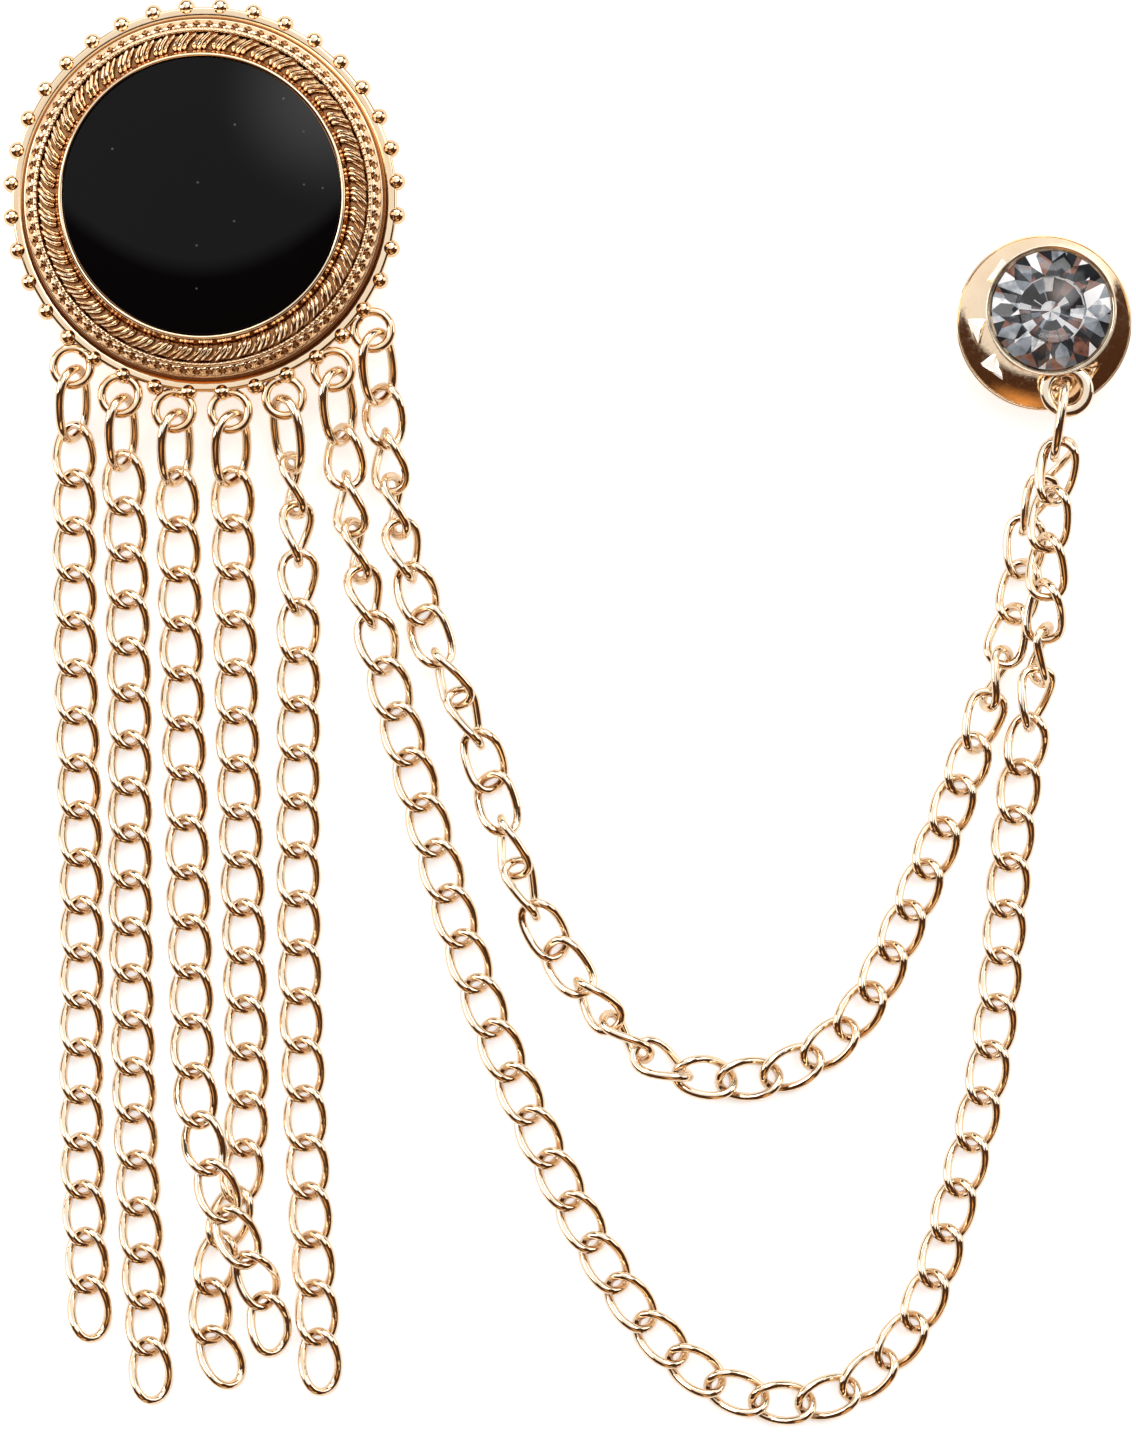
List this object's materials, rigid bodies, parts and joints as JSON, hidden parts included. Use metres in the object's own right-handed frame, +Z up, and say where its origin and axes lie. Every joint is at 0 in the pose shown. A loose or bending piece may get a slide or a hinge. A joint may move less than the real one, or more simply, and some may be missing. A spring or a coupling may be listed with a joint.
{
  "type": "lapel chain",
  "caption": "Round black-stone brooch with hanging curb-chain tassels and two draped chains that run to a clear-stone lapel stud.",
  "frame": {"origin": "on the surface that the laid-out piece rests on, under the middle of its outline", "axes": "+Z up out of the surface, +Y from the tassels' free ends towards the brooch, +X from the brooch towards the stud"},
  "size_m": [0.073, 0.0925, 0.0073],
  "materials": {
    "cast_gold": "polished cast gold-tone plating, darker in its recesses",
    "chain_gold": "polished gold-tone wire",
    "pin_metal": "gold-tone plating",
    "clutch_metal": "polished pressed brass",
    "black_stone": "polished opaque black stone",
    "clear_stone": "clear faceted glass"
  },
  "bodies": {
    "jewel": {"medallion": "cast_gold", "black_stone": "black_stone", "brooch_pin": "pin_metal", "connectors": "chain_gold", "stud_connector": "chain_gold", "tassel_1": "chain_gold", "tassel_2": "chain_gold", "tassel_3": "chain_gold", "tassel_4": "chain_gold", "tassel_5": "chain_gold", "drape_inner": "chain_gold", "drape_outer": "chain_gold", "stud_setting": "cast_gold", "rhinestone": "clear_stone"},
    "clutch": {"clutch": "clutch_metal"}
  },
  "joints": [
    {"name": "clutch_slide", "type": "slide", "parent": "jewel", "child": "clutch", "axis": [0, 0, -1], "range_m": [0, 0.008]}
  ]
}
